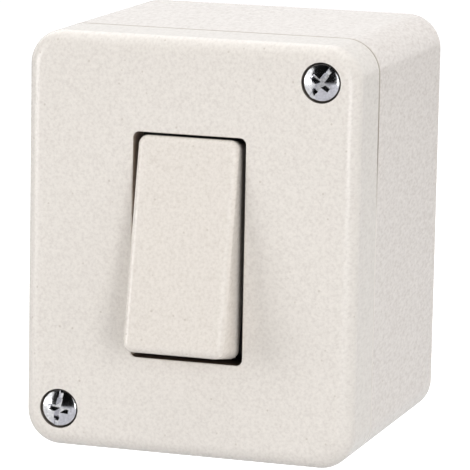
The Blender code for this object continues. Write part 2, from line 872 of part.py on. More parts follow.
def build_clamp_plate(name, side_x, z, material):
    """A square clamp washer with its two ends turned forward, so that wires slide under."""
    x = side_x * TERMINAL_X
    half = CLAMP_WIDTH / 2
    plate = box(name, (x - half, CLAMP_FRONT, z - half), (x + half, CLAMP_REAR, z + half))
    for end in (-1, 1):
        low, high = sorted((z + end * half, z + end * (half - CLAMP_LIP)))
        fuse(
            plate,
            box(
                f"{name}_lip_{end}",
                (x - half, CLAMP_FRONT - CLAMP_LIP, low),
                (x + half, CLAMP_REAR - CLAMP_LIP / 2, high),
            ),
        )
    cut(
        plate,
        cylinder(
            f"{name}_hole", TERMINAL_SCREW_RADIUS + SCREW_PASSAGE,
            CLAMP_FRONT - CLAMP_THICKNESS, CLAMP_REAR + CLAMP_THICKNESS, x, z,
            steps=SMALL_STEPS,
        ),
    )
    return finish(plate, material)


def slotted_screw(name, head_radius, shank_radius, length, location, material):
    """A cheese-headed screw with one slot."""
    screw = turned(
        name,
        screw_profile(head_radius, TERMINAL_HEAD_EDGE, TERMINAL_HEAD_DOME, shank_radius, length),
        SMALL_STEPS,
        location,
        FACING_FRONT,
    )
    shape = bmesh.new()
    bmesh.ops.create_cube(shape, size=1)
    bmesh.ops.scale(shape, vec=(SLOT_SPAN, SLOT_WIDTH, 2 * SLOT_DEPTH), verts=shape.verts)
    bmesh.ops.translate(
        shape, vec=(0, 0, TERMINAL_HEAD_EDGE + TERMINAL_HEAD_DOME), verts=shape.verts
    )
    cut(screw, to_object(f"{name}_slot", shape, location, FACING_FRONT))
    return finish(screw, material)


def build_terminal_screw(name, side_x, z, material):
    seat = CLAMP_FRONT - SEAT_GAP
    length = FLOOR_Y + TERMINAL_SCREW_BITE - seat
    return slotted_screw(
        name, TERMINAL_HEAD_RADIUS, TERMINAL_SCREW_RADIUS, length,
        (side_x * TERMINAL_X, seat, z), material,
    )


def build_block_screw(name, side, material):
    """A screw that holds one ear of the contact block on its post."""
    seat = BLOCK_REAR - EAR_THICKNESS - SEAT_GAP
    return slotted_screw(
        name, BLOCK_HEAD_RADIUS, BLOCK_SCREW_RADIUS, BLOCK_SCREW_LENGTH,
        (0, seat, post_z(side)), material,
    )


def build_contact_block(material):
    """The moulded block: ears, a central well, cheeks for the pin and terminal pockets."""
    block = rounded_box(
        "contact_block", BLOCK_WIDTH / 2, BLOCK_HEIGHT / 2, DECK_Y, BLOCK_REAR, BLOCK_CORNER,
        segments=SMALL_SEGMENTS, centre=(0, MECHANISM_Z),
    )
    fuse(
        block,
        rounded_box(
            "block_ears", EAR_WIDTH / 2, BLOCK_HEIGHT / 2 + EAR_REACH,
            BLOCK_REAR - EAR_THICKNESS, BLOCK_REAR, EAR_WIDTH / 2 * END_ROUND,
            segments=CORNER_SEGMENTS, centre=(0, MECHANISM_Z),
        ),
    )
    for side in (-1, 1):
        add_cheek(block, side)
    cut(
        block,
        box("block_well", (-CHEEK_INNER, 2 * DECK_Y, MECHANISM_Z - WELL_HEIGHT / 2),
            (CHEEK_INNER, FLOOR_Y, MECHANISM_Z + WELL_HEIGHT / 2)),
        cross_bar(
            "cheek_pin_hole", PIN_RADIUS + PIN_CLEARANCE, BLOCK_WIDTH, PIVOT_Y, MECHANISM_Z
        ),
    )
    for index, (side_x, side) in enumerate(((-1, 1), (-1, -1), (1, 0))):
        cut_terminal_pocket(block, index, side_x, contact_z(side))
    for side in (-1, 1):
        cut_core(block, side)
        cut(
            block,
            cylinder(
                f"ear_hole_{side}", BLOCK_SCREW_RADIUS + SCREW_PASSAGE,
                BLOCK_REAR - 2 * EAR_THICKNESS, BLOCK_REAR + EAR_THICKNESS, 0, post_z(side),
                steps=SMALL_STEPS,
            ),
        )
    return finish(block, material)


def add_cheek(block, side):
    """One cheek beside the well: a broad foot that narrows to a round head at the pin."""
    inner, outer = CHEEK_INNER, CHEEK_INNER + CHEEK_THICKNESS
    shape = bmesh.new()
    bmesh.ops.create_cube(shape, size=1)
    height = DECK_Y + BITE - PIVOT_Y
    bmesh.ops.scale(shape, vec=(CHEEK_THICKNESS, height, 2 * CHEEK_FOOT), verts=shape.verts)
    for vert in shape.verts:
        if vert.co.y < 0:
            vert.co.z *= CHEEK_HEAD / CHEEK_FOOT
    middle = side * (inner + outer) / 2
    web = to_object(
        f"cheek_web_{side}", shape, (middle, PIVOT_Y + height / 2, MECHANISM_Z)
    )
    head = cross_bar(f"cheek_head_{side}", CHEEK_HEAD, CHEEK_THICKNESS / 2, PIVOT_Y, MECHANISM_Z)
    head.location.x = middle
    fuse(block, web, head)


def cut_terminal_pocket(block, index, side_x, z):
    """A pocket open to the front and the side, and the channel for its strip."""
    near = TERMINAL_X - POCKET_WIDTH / 2
    low, high = sorted((side_x * near, side_x * BLOCK_WIDTH))
    channel_low, channel_high = sorted((0, side_x * (near + POCKET_WALL)))
    half = STRIP_WIDTH / 2 + STRIP_SIDE_GAP
    cut(
        block,
        box(
            f"pocket_{index}", (low, 2 * DECK_Y, z - POCKET_WIDTH / 2),
            (high, FLOOR_Y, z + POCKET_WIDTH / 2),
        ),
        box(
            f"channel_{index}", (channel_low, STRIP_FRONT - SEAT_GAP, z - half),
            (channel_high, FLOOR_Y, z + half),
        ),
        cylinder(
            f"terminal_hole_{index}", TERMINAL_SCREW_RADIUS + THREAD_CLEARANCE,
            FLOOR_Y - BITE, FLOOR_Y + TERMINAL_SCREW_BITE + SEAT_GAP,
            side_x * TERMINAL_X, z, steps=SMALL_STEPS,
        ),
    )


def cut_core(block, side):
    """A coring pocket from the rear that keeps the block's walls even."""
    inner = CHEEK_INNER + CHEEK_THICKNESS
    low, high = sorted((
        MECHANISM_Z + side * (POCKET_WIDTH / 2 + CORE_WALL),
        MECHANISM_Z + side * (BLOCK_HEIGHT / 2 - CORE_WALL),
    ))
    cut(
        block,
        box(
            f"core_{side}", (inner, DECK_Y + CORE_WALL, low),
            (BLOCK_WIDTH / 2 - CORE_WALL, BLOCK_REAR + CORE_WALL, high),
        ),
    )


def new_pivot(name, y, tilt):
    """An empty on a joint's axis that carries the moving pieces at their rest angle."""
    empty = bpy.data.objects.new(name, None)
    empty.location = (0, y, MECHANISM_Z)
    empty.rotation_euler = (tilt, 0, 0)
    SWITCH.objects.link(empty)
    return empty


def build():
    shell = new_material("ivory_shell", IVORY, 0.38)
    cover_plastic = new_material("ivory_cover", IVORY, 0.36)
    key = new_material("ivory_rocker", IVORY, 0.34)
    moulding = new_material("grey_thermoset", GREY_MOULDING, 0.5)
    plated = new_material("nickel_plated_screw", PLATED, 0.16, 1.0)
    zinc = new_material("zinc_plated_steel", STEEL_COLOUR, 0.32, 1.0)
    brass = new_material("brass_strip", BRASS_COLOUR, 0.28, 1.0)
    silver = new_material("silver_contact", SILVER_COLOUR, 0.25, 1.0)
    nylon = new_material("natural_nylon", NATURAL_NYLON, 0.45)

    build_base_box(shell)
    build_front_cover(cover_plastic)
    build_cover_screw("cover_screw_upper", 1, UPPER_HEAD_TURN, plated)
    build_cover_screw("cover_screw_lower", -1, LOWER_HEAD_TURN, plated)

    build_contact_block(moulding)
    build_block_screw("block_screw_upper", 1, zinc)
    build_block_screw("block_screw_lower", -1, zinc)
    build_common_terminal(brass)
    build_clamp_plate("common_clamp_plate", 1, contact_z(0), zinc)
    build_terminal_screw("common_terminal_screw", 1, contact_z(0), zinc)
    for name, side in (("upper", 1), ("lower", -1)):
        z = contact_z(side)
        build_contact_terminal(f"{name}_contact_terminal", side, brass)
        build_fixed_contact(f"{name}_fixed_contact", side, silver)
        build_clamp_plate(f"{name}_clamp_plate", -1, z, zinc)
        build_terminal_screw(f"{name}_terminal_screw", -1, z, zinc)

    fulcrum = new_pivot("lever_fulcrum", LEVER_Y, LEVER_TILT)
    build_contact_lever(brass, fulcrum)
    build_moving_contact("upper_moving_contact", 1, silver, fulcrum)
    build_moving_contact("lower_moving_contact", -1, silver, fulcrum)

    pivot = new_pivot("rocker_pivot", PIVOT_Y, -ROCKER_TILT)
    build_rocker_pin(zinc)
    build_rocker(key, pivot)
    build_rocker_spring(zinc, pivot)
    build_plunger(nylon, pivot)


build()
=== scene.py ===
"""Looks of the surface mounted light switch: ivory moulded box, rocker and plated cover screws."""

import math

import bmesh
import bpy
from mathutils import Matrix, Vector


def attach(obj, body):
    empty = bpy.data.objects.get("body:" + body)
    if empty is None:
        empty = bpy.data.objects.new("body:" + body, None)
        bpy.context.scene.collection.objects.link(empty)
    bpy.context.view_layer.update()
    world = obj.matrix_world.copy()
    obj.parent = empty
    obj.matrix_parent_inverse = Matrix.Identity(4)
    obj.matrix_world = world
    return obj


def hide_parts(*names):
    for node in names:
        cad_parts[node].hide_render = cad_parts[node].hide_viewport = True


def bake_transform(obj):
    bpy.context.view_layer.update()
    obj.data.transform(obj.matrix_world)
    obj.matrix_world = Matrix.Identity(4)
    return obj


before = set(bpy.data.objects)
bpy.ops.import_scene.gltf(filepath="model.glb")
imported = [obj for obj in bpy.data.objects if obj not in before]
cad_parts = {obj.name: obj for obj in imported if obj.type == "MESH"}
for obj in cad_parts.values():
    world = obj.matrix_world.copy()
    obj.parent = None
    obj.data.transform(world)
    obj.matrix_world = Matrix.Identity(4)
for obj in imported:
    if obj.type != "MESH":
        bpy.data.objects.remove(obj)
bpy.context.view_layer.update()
bpy.ops.object.select_all(action="DESELECT")

# Sizes in metres. The wall is y = 0, the front faces -Y and +Z is up. They are those of the
# solids, but for the front fillet, the softened lips, the heads and seats of the cover screws
# and the rocker's corners, which follow the photograph more closely.
HALF_WIDTH = 0.0270
HALF_HEIGHT = 0.0331
FRONT = -0.0480
CORNER_RADIUS = 0.0055
FRONT_FILLET = 0.0027

# How far the mechanism's middle, and with it the opening and the screws, is above the box's.
MECHANISM_Z = 0.0003

# The gap between pieces that fit together, how far a joined form reaches into the one that
# carries it, and the distance below which two places are the same.
SEAT_GAP = 0.0003
BITE = 0.0006
TOUCH = 1e-6

COVER_REAR = -0.0367
COVER_WALL = 0.0022
COVER_FACE = 0.0022
FACE_INNER = FRONT + COVER_FACE
RIM_EDGE = 0.0010
OPENING_HALF_X = 0.0092
OPENING_HALF_Z = 0.01785
OPENING_CORNER = 0.0010
OPENING_LIP = 0.00022
OPENING_MARGIN = 0.0002
COLLAR_WALL = 0.0012
COLLAR_DEPTH = 0.0028

COVER_SCREW_X = 0.0210
COVER_SCREW_Z = 0.0272
COVER_RECESS_RADIUS = 0.00315
COVER_RECESS_DEPTH = 0.0022
RECESS_LIP = 0.00008
COVER_HOLE_RADIUS = 0.00175
COVER_BOSS_RADIUS = 0.0042
COVER_SCREW_RADIUS = 0.0015
COVER_SCREW_LENGTH = 0.0190
COVER_SCREW_POINT = 0.8 * COVER_SCREW_RADIUS
HEAD_RADIUS = 0.00285
HEAD_EDGE = 0.00165
HEAD_DOME = 0.0007
HEAD_SOFTENING = 0.00006
CROSS_SPAN = 0.0034
CROSS_WIDTH = 0.0009
CROSS_DEPTH = 0.0013
HEAD_SLOT_WIDTH = 0.0007
HEAD_SLOT_DEPTH = 0.0008
UPPER_HEAD_TURN = math.radians(55)
LOWER_HEAD_TURN = math.radians(80)

BASE_FRONT = -0.0364
BASE_WALL = 0.0024
BASE_FRONT_EDGE = 0.0003
BASE_REAR_EDGE = 0.0005
TONGUE_HEIGHT = 0.0020
TONGUE_INSET = 0.0013
BASE_BOSS_RADIUS = 0.0041
BASE_BOSS_HOLE = 0.0016
BASE_BOSS_HOLE_DEPTH = 0.0130
POST_FRONT = -0.0246
POST_Z = 0.0226
POST_RADIUS = 0.0034
POST_FOOT_RADIUS = 0.0041
POST_HOLE = 0.0016
POST_HOLE_DEPTH = 0.0110
FIN_HALF = 0.0007
FIN_DROP = 0.0070
FIXING_X = 0.0150
FIXING_Z = 0.0215
FIXING_HALF_WIDTH = 0.0022
FIXING_HALF_LENGTH = 0.0045
FIXING_RIM = 0.0015
FIXING_RIM_HEIGHT = 0.0010
END_ROUND = 0.98
CABLE_HALF_X = 0.0100
CABLE_HALF_Z = 0.0060
CABLE_CORNER = 0.0020
CABLE_Z = -0.0110
KNOCKOUT_RADIUS = 0.0100
KNOCKOUT_GROOVE = 0.0007
KNOCKOUT_DEPTH = 0.0014
KNOCKOUT_PLACE = (0, BASE_FRONT / 2, -HALF_HEIGHT)

# The rocker's sizes along y are counted from its pin, and so are the spring's.
PIVOT = Vector((0, -0.0464, MECHANISM_Z))
ROCKER_TILT = math.radians(11)
ROCKER_HALF_X = 0.0082
ROCKER_HALF_Z = 0.0169
ROCKER_RISE = 0.0056
ROCKER_SKIRT = 0.0030
ROCKER_WALL = 0.0013
ROCKER_FACE = 0.0015
ROCKER_CORNER = 0.0015
ROCKER_FILLET = 0.0012
ROCKER_RIB = 0.0010
ROCKER_RIB_DEPTH = 0.0026
ROCKER_RIB_Z = 0.0090
PIN_HOLE = 0.00105
PIN_HOLE_HALF = 0.0041
TUBE_RADIUS = 0.0038
TUBE_REACH = 0.0092
BORE_RADIUS = 0.0021
BORE_FRONT = 0.0023
PLUNGER_FRONT = 0.0064
SPRING_WIRE_RADIUS = 0.00022
SPRING_RADIUS = 0.0015
SPRING_TURNS = 4.5
SPRING_FRONT = BORE_FRONT + SEAT_GAP / 2 + SPRING_WIRE_RADIUS
SPRING_REAR = PLUNGER_FRONT - SEAT_GAP / 2 - SPRING_WIRE_RADIUS

# Fineness of the round forms, and the angles in degrees from which an edge stays sharp.
CORNER_STEPS = 16
FILLET_STEPS = 10
EDGE_STEPS = 3
SOFTENING_STEPS = 2
ROUND_STEPS = 64
DOME_STEPS = 12
LIP_STEP_ANGLE = 30
WIRE_SIDES = 8
COIL_STEPS = 80
SHARP_ANGLE = 32
COIL_SHARP_ANGLE = 60
HEAD_SHARP_ANGLE = 40
OPENING_SHARP_ANGLE = 60
FLAT_FACE_WEIGHT = 80

# The share of a unit direction along an axis from which it counts as along it, as facing
# along it, or as facing mostly to that side.
PARALLEL = 0.999
FACING = 0.9
MOSTLY_FACING = 0.7


# Modelling

def deselect():
    bpy.ops.object.select_all(action="DESELECT")


def make_active(piece):
    deselect()
    piece.select_set(True)
    bpy.context.view_layer.objects.active = piece


def take_primitive(name):
    """Names the primitive that was just added, and applies its place, turn and size."""
    piece = bpy.context.object
    piece.name = name
    bpy.ops.object.transform_apply(location=True, rotation=True, scale=True)
    return piece


def set_in_place(piece, turn, place):
    """Turns and moves a piece modelled at the origin, and applies that to its mesh."""
    piece.rotation_euler = turn
    piece.location = place
    make_active(piece)
    bpy.ops.object.transform_apply(location=True, rotation=True, scale=True)


def start_block(name, low, high):
    """A cube primitive between two corners."""
    low, high = Vector(low), Vector(high)
    deselect()
    bpy.ops.mesh.primitive_cube_add(size=1, location=(low + high) / 2, scale=high - low)
    return take_primitive(name)


def pick_edges(piece, test):
    """In edit mode, selects only the edges that pass a test."""
    bpy.ops.mesh.select_mode(type="EDGE")
    bpy.ops.mesh.select_all(action="DESELECT")
    shape = bmesh.from_edit_mesh(piece.data)
    for edge in shape.edges:
        if test(edge):
            edge.select_set(True)
    bmesh.update_edit_mesh(piece.data)


def round_edges(piece, test, width, steps):
    """Bevels the picked edges round."""
    make_active(piece)
    bpy.ops.object.mode_set(mode="EDIT")
    pick_edges(piece, test)
    bpy.ops.mesh.bevel(offset=width, segments=steps, profile=0.5, affect="EDGES")
    bpy.ops.object.mode_set(mode="OBJECT")


def runs_along(axis):
    """A test for edges that run along an axis."""
    def test(edge):
        direction = (edge.verts[1].co - edge.verts[0].co).normalized()
        return abs(direction[axis]) > PARALLEL
    return test


def lies_at(axis, place):
    """A test for edges in a plane across an axis."""
    def test(edge):
        return all(abs(vert.co[axis] - place) < TOUCH for vert in edge.verts)
    return test


def sharp_at_front(half_x, half_z):
    """A test for the sharp edges in the cover's face, in a window about the mechanism."""
    def test(edge):
        return (
            all(
                abs(vert.co.y - FRONT) < TOUCH
                and abs(vert.co.x) < half_x
                and abs(vert.co.z - MECHANISM_Z) < half_z
                for vert in edge.verts
            )
            and edge.calc_face_angle(0) > math.radians(OPENING_SHARP_ANGLE)
        )
    return test


def rounded_block(name, low, high, corner, corner_steps=CORNER_STEPS, front_round=0,
                  rear_round=0, round_steps=EDGE_STEPS):
    """A block with its four edges along Y rounded, and its front and rear rims if asked."""
    piece = start_block(name, low, high)
    round_edges(piece, runs_along(1), corner, corner_steps)
    if front_round:
        round_edges(piece, lies_at(1, low[1]), front_round, round_steps)
    if rear_round:
        round_edges(piece, lies_at(1, high[1]), rear_round, round_steps)
    return piece


def rod(name, radius, front, rear, x, z, rear_radius=None):
    """A cylinder primitive along Y, or a cone where its rear has another radius."""
    deselect()
    bpy.ops.mesh.primitive_cone_add(
        vertices=ROUND_STEPS, radius1=rear_radius or radius, radius2=radius, depth=rear - front,
        location=(x, (front + rear) / 2, z), rotation=(math.radians(90), 0, 0),
    )
    return take_primitive(name)


def cross_rod(name, radius, half_length):
    """A cylinder primitive along X, about the origin."""
    deselect()
    bpy.ops.mesh.primitive_cylinder_add(
        vertices=ROUND_STEPS, radius=radius, depth=2 * half_length,
        location=(0, 0, 0), rotation=(0, math.radians(90), 0),
    )
    return take_primitive(name)


def turned(name, profile, centre):
    """Spins a profile of (radius, depth) points about a line along Y through the centre.

    The profile is extruded point by point from a small plane that is merged to its middle.
    """
    centre = Vector(centre)
    points = [centre + Vector((radius, depth, 0)) for radius, depth in profile]
    deselect()
    bpy.ops.mesh.primitive_plane_add(size=0.001, location=points[0])
    piece = take_primitive(name)
    bpy.ops.object.mode_set(mode="EDIT")
    bpy.ops.mesh.select_mode(type="VERT")
    bpy.ops.mesh.select_all(action="SELECT")
    bpy.ops.mesh.merge(type="CENTER")
    for start, end in zip(points, points[1:]):
        bpy.ops.mesh.extrude_vertices_move(TRANSFORM_OT_translate={"value": end - start})
    bpy.ops.mesh.select_all(action="SELECT")
    bpy.ops.mesh.spin(steps=ROUND_STEPS, angle=math.radians(360), center=centre, axis=(0, 1, 0))
    bpy.ops.mesh.select_all(action="SELECT")
    bpy.ops.mesh.remove_doubles(threshold=TOUCH)
    bpy.ops.mesh.normals_make_consistent(inside=False)
    bpy.ops.object.mode_set(mode="OBJECT")
    return piece


def boolean(piece, tool, operation):
    """Cuts a tool out of a piece or joins it to it, and removes the tool."""
    make_active(piece)
    modifier = piece.modifiers.new(tool.name, "BOOLEAN")
    modifier.operation = operation
    modifier.solver = "EXACT"
    modifier.object = tool
    bpy.ops.object.modifier_apply(modifier=modifier.name)
    bpy.data.objects.remove(tool, do_unlink=True)


def cut(piece, tool):
    boolean(piece, tool, "DIFFERENCE")


def join(piece, tool):
    boolean(piece, tool, "UNION")


def smooth(piece, angle=SHARP_ANGLE):
    """Smooth shading in which the flat faces stay flat and the sharp edges sharp."""
    make_active(piece)
    bpy.ops.object.shade_smooth_by_angle(angle=math.radians(angle))
    modifier = piece.modifiers.new("weighted_normal", "WEIGHTED_NORMAL")
    modifier.keep_sharp = True
    modifier.weight = FLAT_FACE_WEIGHT
    bpy.ops.object.modifier_apply(modifier=modifier.name)


# The pieces

def recess_profile():
    """The counterbore with its softened lip and the hole for the shank, front to rear."""
    lip = [
        (COVER_RECESS_RADIUS + RECESS_LIP * (1 - math.sin(math.radians(angle))),
         RECESS_LIP * (1 - math.cos(math.radians(angle))))
        for angle in range(0, 91, LIP_STEP_ANGLE)
    ]
    return [
        (0, -RECESS_LIP), (COVER_RECESS_RADIUS + RECESS_LIP, -RECESS_LIP), *lip,
        (COVER_RECESS_RADIUS, COVER_RECESS_DEPTH), (COVER_HOLE_RADIUS, COVER_RECESS_DEPTH),
        (COVER_HOLE_RADIUS, COVER_REAR + BITE - FRONT), (0, COVER_REAR + BITE - FRONT),
    ]


def make_front_cover():
    """The cover: a filleted shell, its opening with a collar and two screw seats."""
    cover = rounded_block(
        "visual_front_cover", (-HALF_WIDTH, FRONT, -HALF_HEIGHT),
        (HALF_WIDTH, COVER_REAR, HALF_HEIGHT), CORNER_RADIUS,
        front_round=FRONT_FILLET, round_steps=FILLET_STEPS,
    )
    inset, behind = RIM_EDGE, 2 * COVER_REAR - FRONT
    cut(cover, rounded_block(
        "rebate", (inset - HALF_WIDTH, BASE_FRONT - TONGUE_HEIGHT - SEAT_GAP, inset - HALF_HEIGHT),
        (HALF_WIDTH - inset, behind, HALF_HEIGHT - inset), CORNER_RADIUS - inset,
    ))
    cut(cover, rounded_block(
        "cavity", (COVER_WALL - HALF_WIDTH, FACE_INNER, COVER_WALL - HALF_HEIGHT),
        (HALF_WIDTH - COVER_WALL, behind, HALF_HEIGHT - COVER_WALL), CORNER_RADIUS - COVER_WALL,
    ))
    half_x, half_z = OPENING_HALF_X + COLLAR_WALL, OPENING_HALF_Z + COLLAR_WALL
    join(cover, rounded_block(
        "collar", (-half_x, FACE_INNER - BITE, MECHANISM_Z - half_z),
        (half_x, FACE_INNER + COLLAR_DEPTH, MECHANISM_Z + half_z), OPENING_CORNER + COLLAR_WALL,
    ))
    cut(cover, rounded_block(
        "opening", (-OPENING_HALF_X, 2 * FRONT - FACE_INNER, MECHANISM_Z - OPENING_HALF_Z),
        (OPENING_HALF_X, FACE_INNER + 2 * COLLAR_DEPTH, MECHANISM_Z + OPENING_HALF_Z),
        OPENING_CORNER, corner_steps=FILLET_STEPS,
    ))
    for side in (1, -1):
        x, z = side * COVER_SCREW_X, MECHANISM_Z + side * COVER_SCREW_Z
        join(cover, rod("boss", COVER_BOSS_RADIUS, FACE_INNER - BITE, COVER_REAR, x, z))
        cut(cover, turned("head_recess", recess_profile(), (x, FRONT, z)))
    opening_edges = sharp_at_front(
        OPENING_HALF_X + OPENING_MARGIN, OPENING_HALF_Z + OPENING_MARGIN)
    round_edges(cover, opening_edges, OPENING_LIP, EDGE_STEPS)
    smooth(cover)
    return cover


def make_rear_box():
    """The deep box: tongue, bosses, posts with fins, wall slots, cable entry and knock-out."""
    base = rounded_block(
        "visual_rear_box", (-HALF_WIDTH, BASE_FRONT, -HALF_HEIGHT), (HALF_WIDTH, 0, HALF_HEIGHT),
        CORNER_RADIUS, front_round=BASE_FRONT_EDGE, rear_round=BASE_REAR_EDGE,
    )
    inset = TONGUE_INSET
    join(base, rounded_block(
        "tongue", (inset - HALF_WIDTH, BASE_FRONT - TONGUE_HEIGHT, inset - HALF_HEIGHT),
        (HALF_WIDTH - inset, BASE_FRONT + BITE, HALF_HEIGHT - inset), CORNER_RADIUS - inset,
    ))
    cut(base, rounded_block(
        "cavity", (BASE_WALL - HALF_WIDTH, 2 * BASE_FRONT, BASE_WALL - HALF_HEIGHT),
        (HALF_WIDTH - BASE_WALL, -BASE_WALL, HALF_HEIGHT - BASE_WALL), CORNER_RADIUS - BASE_WALL,
    ))
    for side in (1, -1):
        # Above on the right and below on the left, a boss for a cover screw.
        x, z = side * COVER_SCREW_X, MECHANISM_Z + side * COVER_SCREW_Z
        cut(base, rod("relief", COVER_BOSS_RADIUS + SEAT_GAP, 2 * BASE_FRONT, BASE_FRONT, x, z))
        join(base, rod("boss", BASE_BOSS_RADIUS, BASE_FRONT, BITE - BASE_WALL, x, z))
        cut(base, rod("boss_hole", BASE_BOSS_HOLE, BASE_FRONT - BITE,
                      BASE_FRONT + BASE_BOSS_HOLE_DEPTH, x, z))
        # Above and below the mechanism, a post for one of its ears, tied to the wall by a fin.
        z = MECHANISM_Z + side * POST_Z
        join(base, rod("post", POST_RADIUS, POST_FRONT, BITE - BASE_WALL, 0, z, POST_FOOT_RADIUS))
        low, high = sorted((z, side * (HALF_HEIGHT - BASE_WALL + BITE)))
        join(base, start_block(
            "fin", (-FIN_HALF, POST_FRONT + FIN_DROP, low), (FIN_HALF, BITE - BASE_WALL, high)))
        cut(base, rod("post_hole", POST_HOLE, POST_FRONT - BITE,
                      POST_FRONT + POST_HOLE_DEPTH, 0, z))
        # In the two other corners, a slot for a wall screw: upright above and level below.
        half_x, half_z = FIXING_HALF_WIDTH, FIXING_HALF_LENGTH
        if side < 0:
            half_x, half_z = half_z, half_x
        x, z = -side * FIXING_X, side * FIXING_Z
        rim = FIXING_RIM
        join(base, rounded_block(
            "slot_rim", (x - half_x - rim, -BASE_WALL - FIXING_RIM_HEIGHT, z - half_z - rim),
            (x + half_x + rim, BITE - BASE_WALL, z + half_z + rim),
            (FIXING_HALF_WIDTH + rim) * END_ROUND,
        ))
        cut(base, rounded_block(
            "slot", (x - half_x, -2 * BASE_WALL - FIXING_RIM_HEIGHT, z - half_z),
            (x + half_x, BASE_WALL, z + half_z), FIXING_HALF_WIDTH * END_ROUND,
        ))
    cut(base, rounded_block(
        "cable_entry", (-CABLE_HALF_X, -2 * BASE_WALL, CABLE_Z - CABLE_HALF_Z),
        (CABLE_HALF_X, BASE_WALL, CABLE_Z + CABLE_HALF_Z), CABLE_CORNER,
    ))
    inner, depth = KNOCKOUT_RADIUS - KNOCKOUT_GROOVE, KNOCKOUT_DEPTH
    ring = turned("knockout_ring", [
        (inner, -depth), (KNOCKOUT_RADIUS, -depth), (KNOCKOUT_RADIUS, depth), (inner, depth),
        (inner, -depth),
    ], (0, 0, 0))
    set_in_place(ring, (math.radians(90), 0, 0), KNOCKOUT_PLACE)
    cut(base, ring)
    smooth(base)
    return base


def tilt_with_rocker(piece):
    """Brings a piece modelled level about the origin to the pin, tilted with the rocker."""
    set_in_place(piece, (-ROCKER_TILT, 0, 0), PIVOT)


def make_rocker():
    """The key, modelled level about its pin and then tilted: hollow, ribbed, with its tube."""
    half_x, half_z = ROCKER_HALF_X, ROCKER_HALF_Z
    inner_face = ROCKER_FACE - ROCKER_RISE
    key = rounded_block(
        "visual_rocker", (-half_x, -ROCKER_RISE, -half_z), (half_x, ROCKER_SKIRT, half_z),
        ROCKER_CORNER, front_round=ROCKER_FILLET, round_steps=FILLET_STEPS,
    )
    wall = ROCKER_WALL
    cut(key, rounded_block(
        "hollow", (wall - half_x, inner_face, wall - half_z),
        (half_x - wall, 2 * ROCKER_SKIRT, half_z - wall), ROCKER_CORNER / 2,
    ))
    for side in (-1, 1):
        middle = side * ROCKER_RIB_Z
        join(key, start_block(
            "rib", (wall / 2 - half_x, inner_face - BITE, middle - ROCKER_RIB / 2),
            (half_x - wall / 2, inner_face + ROCKER_RIB_DEPTH, middle + ROCKER_RIB / 2),
        ))
    join(key, rod("tube", TUBE_RADIUS, inner_face - BITE, TUBE_REACH, 0, 0))
    cut(key, rod("bore", BORE_RADIUS, BORE_FRONT, 2 * TUBE_REACH, 0, 0))
    cut(key, cross_rod("pin_hole", PIN_HOLE, PIN_HOLE_HALF))
    smooth(key)
    tilt_with_rocker(key)
    return key


def make_rocker_spring():
    """The coil spring in front of the plunger: a round wire wound by the screw modifier."""
    deselect()
    bpy.ops.mesh.primitive_circle_add(
        vertices=WIRE_SIDES, radius=SPRING_WIRE_RADIUS, location=(SPRING_RADIUS, SPRING_FRONT, 0),
    )
    spring = take_primitive("visual_rocker_spring")
    coil = spring.modifiers.new("coil", "SCREW")
    coil.axis = "Y"
    coil.angle = math.tau * SPRING_TURNS
    coil.screw_offset = SPRING_REAR - SPRING_FRONT
    coil.steps = coil.render_steps = COIL_STEPS
    bpy.ops.object.modifier_apply(modifier=coil.name)
    bpy.ops.object.mode_set(mode="EDIT")
    bpy.ops.mesh.select_all(action="SELECT")
    bpy.ops.mesh.fill_holes(sides=WIRE_SIDES)
    bpy.ops.mesh.select_all(action="SELECT")
    bpy.ops.mesh.normals_make_consistent(inside=False)
    bpy.ops.object.mode_set(mode="OBJECT")
    smooth(spring, COIL_SHARP_ANGLE)
    tilt_with_rocker(spring)
    return spring


def make_cover_screw(name, side, turn):
    """A pan head screw: domed head with a slot and a deeper cross, over a pointed shank."""
    place = Vector((side * COVER_SCREW_X, FRONT + COVER_RECESS_DEPTH - SEAT_GAP,
                    MECHANISM_Z + side * COVER_SCREW_Z))
    sphere = (HEAD_RADIUS**2 + HEAD_DOME**2) / (2 * HEAD_DOME)
    spread = math.asin(HEAD_RADIUS / sphere)
    top = -(HEAD_EDGE + HEAD_DOME)
    dome = [
        (sphere * math.sin(spread * step / DOME_STEPS),
         top + sphere * (1 - math.cos(spread * step / DOME_STEPS)))
        for step in range(DOME_STEPS + 1)
    ]
    screw = turned(name, dome + [
        (HEAD_RADIUS, 0), (COVER_SCREW_RADIUS, 0),
        (COVER_SCREW_RADIUS, COVER_SCREW_LENGTH - COVER_SCREW_POINT),
        (COVER_SCREW_RADIUS - COVER_SCREW_POINT, COVER_SCREW_LENGTH), (0, COVER_SCREW_LENGTH),
    ], place)
    bars = (
        (turn, COVER_RECESS_RADIUS, HEAD_SLOT_WIDTH / 2, HEAD_SLOT_DEPTH),
        (turn, CROSS_SPAN / 2, CROSS_WIDTH / 2, CROSS_DEPTH),
        (turn + math.radians(90), CROSS_SPAN / 2, CROSS_WIDTH / 2, CROSS_DEPTH),
    )
    for angle, half_x, half_z, depth in bars:
        bar = start_block("bar", (-half_x, top - depth, -half_z), (half_x, top + depth, half_z))
        set_in_place(bar, (0, -angle, 0), place)
        cut(screw, bar)
    make_active(screw)
    soften = screw.modifiers.new("soften", "BEVEL")
    soften.width = HEAD_SOFTENING
    soften.segments = SOFTENING_STEPS
    soften.limit_method = "ANGLE"
    soften.angle_limit = math.radians(HEAD_SHARP_ANGLE)
    bpy.ops.object.modifier_apply(modifier=soften.name)
    smooth(screw)
    return screw


# Materials
#
# Every scale is in pattern cells for each metre, so that 2000 means cells of half a
# millimetre. Bump distances are in metres.

ABS_IOR = 1.53

